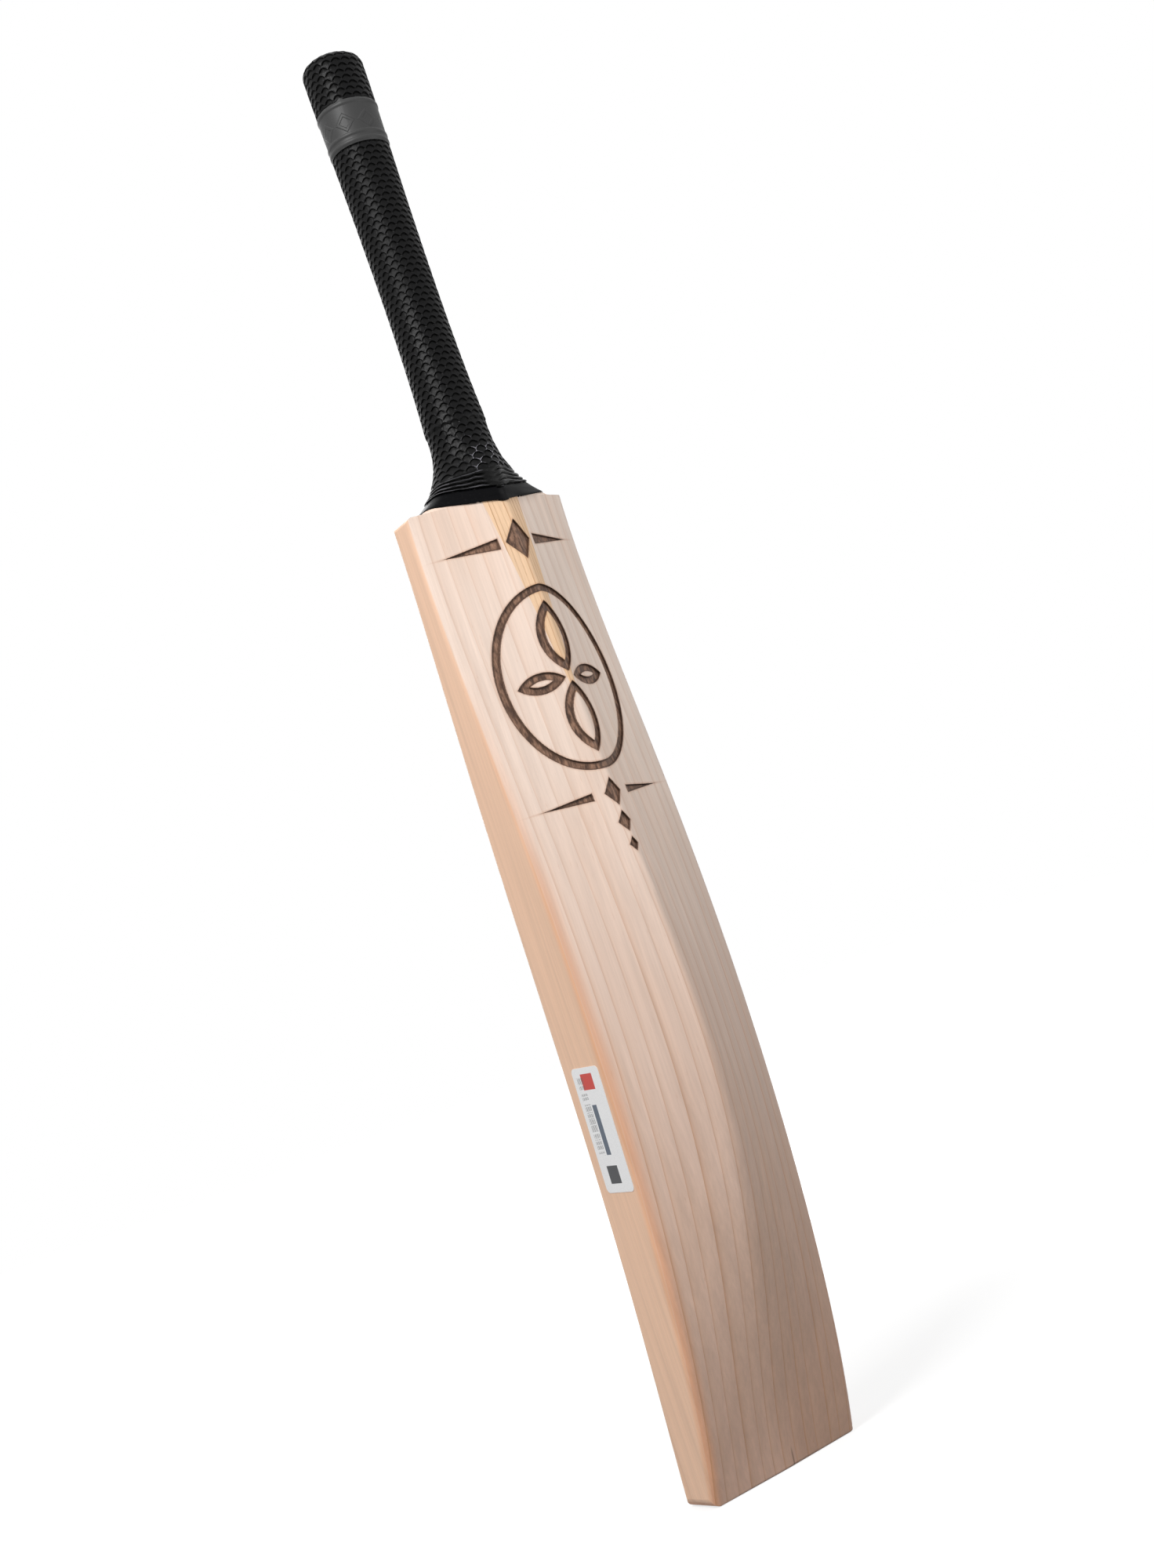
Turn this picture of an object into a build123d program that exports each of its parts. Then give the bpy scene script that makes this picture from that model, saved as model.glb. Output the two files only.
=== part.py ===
from build123d import *
import math
import os

# Cricket bat, in millimetres. Z runs along the handle, the toe stands on Z = 0, the hitting
# face looks to -Y and the spine to +Y. The origin is the middle of the toe's flat end.

# Blade
blade_length = 563.0          # toe to shoulder
blade_width = 108.0
face_crown = 1.8              # how far the middle of the face stands out from its corners
face_corner_radius = 3.0
edge_corner_radius = 4.5      # between an edge and the back
toe_round_marked_edge = 7.0   # corner of toe and edge, on the side of the label
toe_round_plain_edge = 3.5
toe_edge_radius = 1.6         # small round all along the toe
shoulder_round_marked_edge = 3.0
shoulder_round_plain_edge = 2.5
outline_margin = 0.1          # the outline that rounds these corners clears the sides by this

# Blade stations, toe to shoulder: share of the blade's length, Y of the face's corners,
# depth of the edge, depth from the face's corners to the ridge, radius of the ridge
blade_stations = [
    (0.0, -12.8, 25.2, 27.0, 80.0),
    (0.2, -0.5, 37.5, 51.0, 24.0),
    (0.4, 7.0, 40.0, 66.0, 8.0),
    (0.6, 10.5, 37.5, 59.5, 5.0),
    (0.8, 15.5, 26.0, 48.0, 5.0),
    (1.0, 21.0, 18.5, 37.5, 6.0),
]

# Neck, which narrows from the shoulders to the handle
neck_height = 49.0
neck_ledge = 9.5              # flat of the shoulder left outside the neck
neck_root_rounds = (12.0, 7.0)   # corners where it leaves the blade: at the face, at the back
neck_stations = [0.0, 0.08, 0.25, 0.5, 1.0]   # shares of the neck's height
neck_inset = 0.45             # how far the neck's end lies inside the handle
neck_overlap = 2.0            # how far it runs up inside it
neck_taper_power = 3          # how quickly the neck draws in above the shoulders
neck_fillet_share = 0.97      # fillet radius to circle radius where the neck turns round

# Handle
handle_length = 279.5         # shoulder to the bare handle's end
handle_axis_y = 36.0          # the handle stands this far behind the middle of the toe
neck_radius = 16.0
grasp_radius = 14.0           # the slimmest place
grasp_height = 137.0          # its height above the shoulder
swell_radius = 15.1
swell_height = 217.0
neck_lean = -0.06             # slope of the handle's side where it leaves the neck
end_radius = 16.0
end_round = 4.0

# Splice
splice_length = 121.0         # shoulder to the tip of the V
splice_half_width = 12.3      # at the shoulder
splice_tip_half_width = 1.2
cheek_height = 34.0           # how far the willow runs up beside the cane, above the shoulder

# Laminate of the handle
layers = 4
strips_per_layer = 3
layer_pitch = 8.0             # spacing of the springs
strip_pitch = 10.0            # width of the middle strips
spring_thickness = 1.2
spring_names = ["spring_front", "spring_middle", "spring_back"]

# Coverings
twine_thickness = 0.5
twine_end_gap = 6.0           # bare cane left below the handle's end
grip_thickness = 1.9
grip_foot_height = 23.0       # where the scaled part begins, above the shoulder
grip_mouth_radius = 11.0      # hole in the lip over the handle's end
band_height = 27.0
band_start = 223.0            # above the shoulder
band_depth = 0.9              # let into the grip
band_rim = 0.45               # height of the raised rims
band_rim_width = 1.6
band_rim_places = [1.2, 5.4, 24.2]
tape_thickness = 1.1
tape_height = 9.0
tape_dip = 4.4                # its lower edge on the spine, below the shoulder
tape_slope = 0.17             # rise of that edge towards the blade's edges
hem_thickness = 2.4

# Label
label_length = 70.0
label_width = 26.0
label_thickness = 0.2
label_corner_radius = 3.0
label_height = 211.0          # its middle above the toe
label_y = 28.5
label_tilt = 3.2              # degrees

# Engraving on the back
groove_depth = 1.2
stroke = 4.2
medallion_drop = 111.0        # its middle below the shoulder
medallion_half_width = 39.0
medallion_half_height = 55.0
long_leaf = 42.0
short_leaf = 26.0
leaf_fullness = 0.46          # width of a leaf to its length
leaf_gap = 3.0                # from the medallion's middle to a leaf's tip
divider_drop = 28.0
divider_reach = 41.0
divider_start = 12.0
lozenge_width = 16.0
lozenge_height = 24.0
rule_drop = 180.0
rule_reach = 38.0
rule_start = 12.0
bead_heights = [16.0, 12.0, 8.0]   # solid lozenges under the medallion, largest first
bead_gap = 3.5

# Worked out from the sizes above
half_width = blade_width / 2
face_crown_radius = (half_width**2 + face_crown**2) / (2 * face_crown)
shoulder_z = blade_length
neck_top_z = shoulder_z + neck_height
handle_end_z = shoulder_z + handle_length
above_all = handle_end_z + 50.0
grip_outer = twine_thickness + grip_thickness
reach = 3 * blade_width       # longer than any cut through the bat has to be


def make_section(height, half, face_y, corner_y, ridge_y, radii, grow):
    """Five-sided section with round corners, its sides moved out by grow.

    face_y is the middle of the crowned face.
    """
    face_radius, corner_radius, ridge_radius = radii
    slope = math.atan2(ridge_y - corner_y, half)
    side = half + grow
    crown_radius = face_crown_radius + grow
    middle = face_y - grow
    front = middle + crown_radius - math.sqrt(crown_radius**2 - side**2)
    ridge = ridge_y + grow / math.cos(slope)
    corner = ridge - side * math.tan(slope)
    with BuildSketch(Plane.XY.offset(height)) as section:
        with BuildLine():
            ThreePointArc((-side, front), (0, middle), (side, front))
            Polyline((side, front), (side, corner), (0, ridge), (-side, corner), (-side, front))
        make_face()
        for y, radius in ((front, face_radius), (corner, corner_radius), (ridge, ridge_radius)):
            sharp = section.vertices().filter_by(lambda v: abs(v.Y - y) < 0.01)
            fillet(sharp, radius + grow)
    return section.sketch


def make_blade_form(grow):
    """The whole blade, square at both ends, with its sides moved out by grow."""
    sections = []
    for share, face_y, edge, spine, ridge_radius in blade_stations:
        radii = (face_corner_radius, edge_corner_radius, ridge_radius)
        sections.append(make_section(share * blade_length, half_width, face_y - face_crown,
                                     face_y + edge, face_y + spine, radii, grow))
    with BuildPart() as form:
        loft(sections)
    return form.part


def make_neck_form(grow):
    """The neck, from the blade's five-sided section to the round of the handle."""
    _, shoulder_corner_y, edge, spine, ridge_radius = blade_stations[-1]
    root_half = half_width - neck_ledge
    root_face_y = shoulder_corner_y - face_crown
    root_corner_y = shoulder_corner_y + edge + (spine - edge) * neck_ledge / half_width
    root_ridge_y = shoulder_corner_y + spine
    top_radius = neck_radius - neck_inset
    # At its top the section is drawn round a circle, with both back facets at 45 degrees
    top_corner_y = handle_axis_y + top_radius * (math.sqrt(2) - 1)
    top_ridge_y = handle_axis_y + top_radius * math.sqrt(2)
    round_radius = neck_fillet_share * top_radius
    root_radii = (*neck_root_rounds, ridge_radius)
    sections = []
    for rise in neck_stations:
        narrowing = (1 - rise) ** neck_taper_power
        turn = 1 - (1 - rise) ** 2
        half = top_radius + (root_half - top_radius) * narrowing
        face_y = root_face_y + (handle_axis_y - top_radius - root_face_y) * turn
        corner_y = root_corner_y + (top_corner_y - root_corner_y) * turn
        ridge_y = root_ridge_y + (top_ridge_y - root_ridge_y) * turn
        radii = [start + (round_radius - start) * turn for start in root_radii]
        height = shoulder_z + rise * (neck_height + neck_overlap)
        sections.append(make_section(height, half, face_y, corner_y, ridge_y, radii, grow))
    with BuildPart() as form:
        loft(sections)
    return form.part


def make_handle_form(grow, lip):
    """The round handle above the neck, with its side moved out by grow and its end by lip."""
    top = handle_end_z + lip
    with BuildPart() as form:
        with BuildSketch(Plane.XZ.offset(-handle_axis_y)):
            with BuildLine():
                side = Spline(
                    (neck_radius + grow, neck_top_z),
                    (grasp_radius + grow, shoulder_z + grasp_height),
                    (swell_radius + grow, shoulder_z + swell_height),
                    (end_radius + grow, handle_end_z - end_round),
                    tangents=((neck_lean, 1), (0, 1)),
                )
                rounding = EllipticalCenterArc(
                    (end_radius - end_round, handle_end_z - end_round),
                    end_round + grow, end_round + lip, start_angle=0, arc_size=90)
                Polyline(rounding @ 1, (0, top), (0, neck_top_z),
                         (neck_radius + grow, neck_top_z))
            make_face()
        revolve(axis=Axis((0, handle_axis_y, 0), (0, 0, 1)))
    return form.part


def make_front_cut(points):
    """A slab right through the bat, front to back, whose outline is the given XZ points."""
    with BuildPart() as cut:
        with BuildSketch(Plane.XZ.offset(reach / 2)):
            with BuildLine():
                Polyline(*points, close=True)
            make_face()
        extrude(amount=-reach)
    return cut.part


def make_height_band(z_low, z_high):
    """A slab as wide and deep as the bat, between two heights."""
    with BuildPart() as band:
        with BuildSketch(Plane.XY.offset(z_low)):
            Rectangle(reach, reach)
        extrude(amount=z_high - z_low)
    return band.part


def make_handle_ring(inner, outer, z_low, z_high):
    """A ring round the handle that follows its profile, from one growth of it to another."""
    with BuildPart() as ring:
        add(make_handle_form(outer, outer))
        add(make_handle_form(inner, inner), mode=Mode.SUBTRACT)
        add(make_height_band(z_low, z_high), mode=Mode.INTERSECT)
    return ring.part


def make_edge_band(rise, height):
    """Region between two lines that rise from the ridge to both edges, as the tape lies."""
    start = shoulder_z - tape_dip + rise
    side = start + tape_slope * reach / 2
    points = [(0, start), (reach / 2, side), (reach / 2, side + height), (0, start + height),
              (-reach / 2, side + height), (-reach / 2, side)]
    return make_front_cut(points)


def make_layer_slab(y_low, y_high):
    """A slab as wide and high as the bat, between two depths."""
    with BuildPart() as slab:
        with BuildSketch(Plane.XZ.offset(-y_low)):
            with Locations((0, above_all / 2)):
                Rectangle(reach, above_all)
        extrude(amount=y_low - y_high)
    return slab.part


def make_leaf(length, width):
    """Outline of a leaf along +Y, from its stalk at the origin to its tip, one stroke wide."""
    with BuildSketch() as leaf:
        with BuildLine():
            ThreePointArc((0, 0), (width / 2, length / 2), (0, length))
            ThreePointArc((0, length), (-width / 2, length / 2), (0, 0))
        make_face()
        offset(amount=-stroke, mode=Mode.SUBTRACT)
    return leaf.sketch


def make_lozenge(width, height):
    """Solid lozenge centred on the origin."""
    with BuildSketch() as lozenge:
        with BuildLine():
            Polyline((width / 2, 0), (0, height / 2), (-width / 2, 0), (0, -height / 2), close=True)
        make_face()
    return lozenge.sketch


def make_bar(start, end, thickness):
    """Bar from start to end along +X and its mirror image, tapered outwards."""
    with BuildSketch() as bar:
        with BuildLine():
            Polyline((start, -thickness / 2), (end, 0), (start, thickness / 2), close=True)
        make_face()
        mirror(about=Plane.YZ)
    return bar.sketch


# Outside of the bare bat: blade, neck and handle
blade_form = make_blade_form(0)
neck_form = make_neck_form(0)
handle_form = make_handle_form(0, 0)

# The V of the splice widens evenly up to the top of the willow cheeks, and all above is cane
splice_slope = (splice_half_width - splice_tip_half_width) / splice_length
splice_tip_z = shoulder_z - splice_length
cheek_top_z = shoulder_z + cheek_height
splice_side = [
    (splice_tip_half_width, splice_tip_z),
    (splice_half_width + splice_slope * cheek_height, cheek_top_z),
    (half_width, cheek_top_z),
    (half_width, above_all),
]
splice_cut = make_front_cut(splice_side + [(-x, z) for x, z in reversed(splice_side)])

# Engraving: grooves of even depth in the back of the blade and of the splice
medallion_z = shoulder_z - medallion_drop
divider_z = shoulder_z - divider_drop
rule_z = shoulder_z - rule_drop
long_shape = make_leaf(long_leaf, long_leaf * leaf_fullness)
short_shape = make_leaf(short_leaf, short_leaf * leaf_fullness)
with BuildPart() as engraving:
    with BuildSketch(Plane.XZ.offset(-handle_axis_y)):
        with Locations((0, medallion_z)):
            Ellipse(medallion_half_width, medallion_half_height)
            Ellipse(medallion_half_width - stroke, medallion_half_height - stroke,
                    mode=Mode.SUBTRACT)
            for quarter, shape in enumerate((long_shape, short_shape, long_shape, short_shape)):
                with PolarLocations(leaf_gap, 1, start_angle=90 * quarter + 90):
                    add(shape, rotation=-90)
        with Locations((0, divider_z)):
            add(make_lozenge(lozenge_width, lozenge_height))
            add(make_bar(divider_start, divider_reach, stroke * 1.5))
        with Locations((0, rule_z)):
            add(make_bar(rule_start, rule_reach, stroke))
        bead_top = rule_z + bead_heights[0] / 2
        for bead_height in bead_heights:
            with Locations((0, bead_top - bead_height / 2)):
                add(make_lozenge(bead_height * lozenge_width / lozenge_height, bead_height))
            bead_top -= bead_height + bead_gap
    extrude(amount=-reach)
    add(Pos(0, -groove_depth, 0) * blade_form, mode=Mode.SUBTRACT)

# Blade: rounded at its four corners, joined to the neck, notched for the splice, engraved
with BuildPart() as blade:
    add(blade_form)
    fillet(blade.faces().sort_by(Axis.Z)[0].edges(), toe_edge_radius)
    with BuildSketch(Plane.XZ.offset(reach / 2)) as front_outline:
        with Locations((0, blade_length / 2)):
            Rectangle(blade_width + 2 * outline_margin, blade_length + 2 * outline_margin)
        for x_side, z_side, radius in (
            (1, 0, toe_round_marked_edge),
            (-1, 0, toe_round_plain_edge),
            (1, 1, shoulder_round_marked_edge),
            (-1, 1, shoulder_round_plain_edge),
        ):
            corner = (x_side * half_width, z_side * blade_length)
            fillet(front_outline.vertices().sort_by_distance(corner)[0], radius)
    extrude(amount=-reach, mode=Mode.INTERSECT)
    add(neck_form)
    add(splice_cut, mode=Mode.SUBTRACT)
    add(engraving.part, mode=Mode.SUBTRACT)
blade.part.label = "blade"
nodes = [blade.part]

# Splice and handle before they are split into strips
with BuildPart() as cane_block:
    add(blade_form)
    add(neck_form)
    add(handle_form)
    add(splice_cut, mode=Mode.INTERSECT)

# Springs lie parallel to the face, and the strips fill the layers between them
first_spring_y = handle_axis_y - layer_pitch * (len(spring_names) - 1) / 2
spring_middles = [first_spring_y + layer_pitch * count for count in range(len(spring_names))]
for name, middle_y in zip(spring_names, spring_middles):
    with BuildPart() as spring:
        add(cane_block.part)
        add(make_layer_slab(middle_y - spring_thickness / 2, middle_y + spring_thickness / 2),
            mode=Mode.INTERSECT)
    spring.part.label = name
    nodes.append(spring.part)

layer_starts = [-reach] + [middle_y + spring_thickness / 2 for middle_y in spring_middles]
layer_ends = [middle_y - spring_thickness / 2 for middle_y in spring_middles] + [reach]
middle_strip_end = strip_pitch * (strips_per_layer - 2) / 2
strip_edges = [-reach] + [
    -middle_strip_end + strip_pitch * count for count in range(strips_per_layer - 1)
] + [reach]
for layer, (layer_start, layer_end) in enumerate(zip(layer_starts, layer_ends), start=1):
    for place in range(1, strips_per_layer + 1):
        strip_start = strip_edges[place - 1]
        strip_end = strip_edges[place]
        with BuildPart() as cane:
            add(cane_block.part)
            with BuildSketch():
                with Locations(((strip_start + strip_end) / 2, (layer_start + layer_end) / 2)):
                    Rectangle(strip_end - strip_start, layer_end - layer_start)
            extrude(amount=above_all, mode=Mode.INTERSECT)
            if layer == layers:
                add(engraving.part, mode=Mode.SUBTRACT)
        cane.part.label = f"cane_{layer}_{place}"
        nodes.append(cane.part)

# Twine: one close-wound layer from the grip's scaled part to just below the handle's end
grip_foot_z = shoulder_z + grip_foot_height
with BuildPart() as binding_twine:
    add(make_neck_form(twine_thickness))
    add(make_handle_form(twine_thickness, 0))
    add(make_height_band(grip_foot_z, handle_end_z - twine_end_gap), mode=Mode.INTERSECT)
    add(neck_form, mode=Mode.SUBTRACT)
    add(handle_form, mode=Mode.SUBTRACT)
binding_twine.part.label = "binding_twine"
nodes.append(binding_twine.part)

# Grip: over the twine and round the handle's end, with a recess for its band
band_z = shoulder_z + band_start
band_floor = grip_outer - band_depth
band_crest = grip_outer + band_rim
with BuildPart() as grip:
    add(make_neck_form(grip_outer))
    add(make_handle_form(grip_outer, grip_thickness))
    add(make_height_band(grip_foot_z, above_all), mode=Mode.INTERSECT)
    add(make_neck_form(twine_thickness), mode=Mode.SUBTRACT)
    add(make_handle_form(twine_thickness, 0), mode=Mode.SUBTRACT)
    add(make_handle_ring(band_floor, band_crest, band_z, band_z + band_height),
        mode=Mode.SUBTRACT)
    with Locations((0, handle_axis_y, handle_end_z)):
        Cylinder(grip_mouth_radius, 2 * end_round, mode=Mode.SUBTRACT)
grip.part.label = "grip"
nodes.append(grip.part)

# Grip band: flush with the grip, with raised rims
with BuildPart() as grip_band:
    add(make_handle_ring(band_floor, grip_outer, band_z, band_z + band_height))
    for place in band_rim_places:
        add(make_handle_ring(band_floor, band_crest, band_z + place,
                             band_z + place + band_rim_width))
grip_band.part.label = "grip_band"
nodes.append(grip_band.part)

# Grip hem: the bunched foot of the grip, from the tape up to the scaled part
with BuildPart() as grip_hem:
    add(make_blade_form(hem_thickness))
    add(make_neck_form(hem_thickness))
    add(make_edge_band(tape_height, neck_height), mode=Mode.INTERSECT)
    add(make_height_band(0, grip_foot_z), mode=Mode.INTERSECT)
    add(blade_form, mode=Mode.SUBTRACT)
    add(neck_form, mode=Mode.SUBTRACT)
grip_hem.part.label = "grip_hem"
nodes.append(grip_hem.part)

# Tape: holds the foot of the grip down on the neck and the top of the blade
with BuildPart() as neck_tape:
    add(make_blade_form(tape_thickness))
    add(make_neck_form(tape_thickness))
    add(make_edge_band(0, tape_height), mode=Mode.INTERSECT)
    add(blade_form, mode=Mode.SUBTRACT)
    add(neck_form, mode=Mode.SUBTRACT)
neck_tape.part.label = "neck_tape"
nodes.append(neck_tape.part)

# Label: stuck flat on one edge of the blade
label_plane = Plane((half_width, label_y, label_height), x_dir=(0, 1, 0), z_dir=(1, 0, 0))
with BuildPart() as edge_label:
    with BuildSketch(label_plane):
        RectangleRounded(label_width, label_length, label_corner_radius, rotation=-label_tilt)
    extrude(amount=label_thickness)
edge_label.part.label = "edge_label"
nodes.append(edge_label.part)

os.makedirs("parts", exist_ok=True)
for node in nodes:
    export_step(node, f"parts/{node.label}.step")
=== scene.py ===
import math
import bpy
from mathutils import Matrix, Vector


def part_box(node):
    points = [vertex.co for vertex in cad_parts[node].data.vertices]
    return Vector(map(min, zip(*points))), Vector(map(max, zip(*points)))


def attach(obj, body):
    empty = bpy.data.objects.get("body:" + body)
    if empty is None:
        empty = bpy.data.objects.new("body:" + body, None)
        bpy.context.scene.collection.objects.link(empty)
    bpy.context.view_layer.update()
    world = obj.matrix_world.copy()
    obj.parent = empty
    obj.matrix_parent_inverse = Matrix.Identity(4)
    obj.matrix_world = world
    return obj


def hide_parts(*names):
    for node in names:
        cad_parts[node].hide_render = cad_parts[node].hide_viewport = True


bl_info = {
    "name": "Cricket Bat Dressing",
    "version": (1, 0, 0),
    "blender": (4, 5, 0),
    "location": "3D View > Sidebar > Cricket Bat",
    "description": "Dresses a laminated-handle cricket bat on its packed frame and sets its stage",
    "category": "Object",
}

import bpy
from bpy.props import FloatProperty, FloatVectorProperty, IntProperty, PointerProperty
from mathutils import Matrix, Vector, noise
from mathutils.bvhtree import BVHTree

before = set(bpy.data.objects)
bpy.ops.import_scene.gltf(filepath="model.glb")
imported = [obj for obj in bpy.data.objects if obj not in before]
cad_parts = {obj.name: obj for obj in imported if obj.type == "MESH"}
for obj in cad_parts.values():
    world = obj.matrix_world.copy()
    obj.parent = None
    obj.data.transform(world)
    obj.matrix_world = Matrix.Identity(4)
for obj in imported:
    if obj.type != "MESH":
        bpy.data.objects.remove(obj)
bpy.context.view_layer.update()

MM = 0.001
FACING_REACH = 0.2  # rays towards the handle's axis start this far from it
# Rays cast above and below a height, nearest first, where a rim slants
RIM_LIFTS = sorted((0.2 * MM * step for step in range(-25, 25)), key=abs)

# Places that follow from the frame
grip_low, grip_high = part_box("grip")
band_low, band_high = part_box("grip_band")
label_low, label_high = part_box("edge_label")
AXIS_Y = (band_low.y + band_high.y) / 2  # of the handle
BAND_MIDDLE = (band_low.z + band_high.z) / 2
HANDLE_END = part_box("cane_2_2")[1].z
GRIP_FOOT = grip_low.z
TAPE_DIP = 4.4 * MM  # lowest point of the tape's lower edge, below the shoulder
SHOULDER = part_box("neck_tape")[0].z + TAPE_DIP  # height of the blade's shoulder

# Rubber and tape of the handle
HEM_TOP = GRIP_FOOT - 5.5 * MM  # the scales come down over the plain foot as far as this
OVERLAP = 0.8 * MM  # of the scales over the hem, and of the tape over the hem
END_RADIUS = 18.4 * MM  # outside of the grip at the handle's end
GRIP_LIP = 1.5 * MM  # thickness of the lip over the handle's end
GRIP_DEPTH = 2.2 * MM  # from the plain grip's outside to the inner wall of the scales
HEM_WALL = 1.4 * MM
HEM_RIM = 0.08  # share of the hem's height that its lower rim takes
HEM_RIM_DEPTH = 0.25 * MM
TAPE_WALL = 0.8 * MM
BAND_WALL = 1.0 * MM
WOOD_CLEARANCE = 0.4 * MM  # between the wood and what is wrapped over it
RIM_MARGIN = 0.05 * MM  # sleeves are measured this far inside the node's own rims
FIRST_RADIUS = 20 * MM  # first guess of a sleeve's radius
RIDGE_ANGLE = math.radians(84)  # where the spine meets the hem, seen from above
RIDGE_SPREAD = 0.17  # radians
SEAM_ANGLE = math.radians(50)  # the band's moulding seam
SEAM_SPREAD = 0.025  # radians
NIB_HEIGHT = 1.4 * MM  # of the point on the band's upper edge
NIB_HALF_ANGLE = 0.14  # radians
NIB_ROOT = 2.0 * MM  # how far down the band the point starts
LOZENGES = 8  # raised on the band
LOZENGE_RISE = 6.2 * MM  # half their height
TWINE_PITCH = 0.9 * MM  # from turn to turn

# Zones of the finishes, in metres along an axis: where each starts and where it is full
PAINTED_SHADE_TO_LIT_X = (-0.02, 0.015)  # from the far side, painted cooler and darker as shade, to the lit marked side
MARKED_EDGE_X = (0.0528, 0.0536)  # heartwood
# pinker wood towards the toe, and darker there as painted shade
TOE_PINK_AND_SHADE_Z = (0.42, 0.03)
LOWER_SHADE_Z = (0.4, 0.1)  # stronger shade of the year rings
LOWER_LINE_Z = (0.45, 0.12)  # stronger lines between them
TINT_Z = (0.5, 0.3)  # orange tint along the back corner
TINT_ON_BACK_X = (0.045, 0.0545)
TINT_ON_EDGE = (-0.006, 0.001)  # from the corner, towards the back
FLECK_X = -0.0045
FLECK_HALF_WIDTH = (0.0009, 0.0001)
FLECK_Z = (0.013, 0.005)
FLECK_Y = (0.006, 0.011)
TOE_PAINTED_SHADE_Z = (0.0011, 0.0004)  # painted shade along the toe's lower edge
TOE_PAINTED_SHADE_X = (0.046, 0.03)
RUBBED_Z = (GRIP_FOOT + 0.019, GRIP_FOOT + 0.007)  # rubbed patch of the grip
RUBBED_X = ((0.014, 0.006), (-0.032, -0.018))  # its two sides
RUBBED_Y = (AXIS_Y + 0.004, AXIS_Y + 0.016)
# Millimetres of the blade's back corner behind its origin, at even steps from toe to shoulder
BACK_CORNER = (12.4, 37.0, 47.0, 48.0, 41.5, 39.5)
CORNER_SCALE = 60  # millimetres that the full height of its curve stands for

LABEL_TILT = 3.2  # degrees
# Millimetres from the label's middle: low and high across, low and high along; colour
LABEL_BLOCKS = ((-5.5, 5.5, 22.5, 31.5, "c8372c"),
                (-2.6, 1.6, -14.0, 14.0, "4f5b6b"),
                (-6.5, 3.5, -30.0, -20.0, "2d2f33"))
RULED_BLOCK = (-9.5, -4.0, -14.0, 30.0)
RULE_PITCH = 1.3 * MM
PRINT_SOFTNESS = 0.12 * MM

# Stage: name, setting that holds the power, width and place of each lamp, in metres
LAMPS = (("key_lamp", "key_power", 0.5, (1.15, 0.65, 1.6)),
         ("back_lamp", "back_power", 0.4, (-0.26, 0.5, 0.64)),
         ("fill_lamp", "fill_power", 1.2, (-0.5, -1.5, 0.9)))
AIM_HEIGHT = 0.5  # the lamps point at the axis at this height
FLOOR_SIZE = 12
FLOOR_PAINT = "969696"
GLOW_REACH = (0.15, 1.0)  # from the toe outwards the floor brightens to white
GLOW_NEAR = 0.75
CAMERA_PLACE = (0.6265, 0.9093, 0.2870)
CAMERA_AHEAD = (-0.5796, -0.8086, 0.1006)
CAMERA_TILT = -19.0  # degrees that the camera is rolled by


# ---- settings

def length(name, description, millimetres):
    return FloatProperty(name=name, description=description, default=millimetres * MM,
                         subtype="DISTANCE", unit="LENGTH")


def colour(name, description, code):
    """Colour setting from a hexadecimal sRGB code."""
    return FloatVectorProperty(name=name, description=description, default=linear(code),
                               subtype="COLOR", size=3, min=0, max=1)


def linear(code):
    """Scene-linear red, green and blue of a hexadecimal sRGB code."""
    shares = [int(code[place:place + 2], 16) / 255 for place in (0, 2, 4)]
    return [share / 12.92 if share <= 0.04045 else ((share + 0.055) / 1.055) ** 2.4
            for share in shares]


class BatGripSizes(bpy.types.PropertyGroup):
    scales_around: IntProperty(name="Scales around", default=19, min=8, max=40,
                               description="Scales in one row round the handle")
    row_pitch: length("Row pitch", "Height from one row of scales to the next", 3.7)
    arc_rise: length("Arc rise", "Height of the arc over each scale", 2.2)
    scale_depth: length("Scale depth", "Depth of a scale under its arc", 1.0)
    end_round: length("End round", "Radius of the grip where it turns over the handle's end", 6.0)
    mouth_radius: length("Mouth radius", "Radius of the hole in the grip's end", 11.0)
    fold_depth: length("Fold depth", "Depth of the folds in the bunched hem", 1.9)
    folds: IntProperty(name="Folds", default=4, min=1, max=12,
                       description="Folds in the bunched hem")
    tape_width: length("Tape width", "Height of the tape round the shoulder", 9.0)
    tape_slope: FloatProperty(name="Tape slope", default=0.17, subtype="FACTOR",
                              description="Rise of the tape from the spine to the edges")


class BatEngravingSizes(bpy.types.PropertyGroup):
    stroke: length("Stroke", "Width of the engraved lines", 4.2)
    medallion_drop: length("Medallion drop", "Medallion's middle below the shoulder", 111)
    medallion_half_width: length("Medallion half width", "Half its width", 39)
    medallion_half_height: length("Medallion half height", "Half its height", 55)
    long_leaf: length("Long leaf", "Length of the upright leaves", 42)
    short_leaf: length("Short leaf", "Length of the level leaves", 26)
    leaf_gap: length("Leaf gap", "From the medallion's middle to a leaf", 3)
    leaf_fullness: FloatProperty(name="Leaf fullness", default=0.46, subtype="FACTOR",
                                 description="Width of a leaf to its length")
    divider_drop: length("Divider drop", "Upper row below the shoulder", 28)
    divider_start: length("Divider start", "Inner end of the upper bars", 12)
    divider_reach: length("Divider reach", "Outer end of the upper bars", 41)
    lozenge_width: length("Lozenge width", "Width of the upper lozenge", 16)
    lozenge_height: length("Lozenge height", "Height of the upper lozenge", 24)
    rule_drop: length("Rule drop", "Lower row below the shoulder", 180)
    rule_start: length("Rule start", "Inner end of the lower bars", 12)
    rule_reach: length("Rule reach", "Outer end of the lower bars", 38)
    beads: IntProperty(name="Beads", default=3, min=1, max=6,
                       description="Lozenges of the lower row")
    bead_height: length("Bead height", "Height of the first lozenge of the lower row", 16)
    bead_step: length("Bead step", "How much lower each next lozenge is", 4)
    bead_gap: length("Bead gap", "Space between those lozenges", 3.5)


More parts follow.
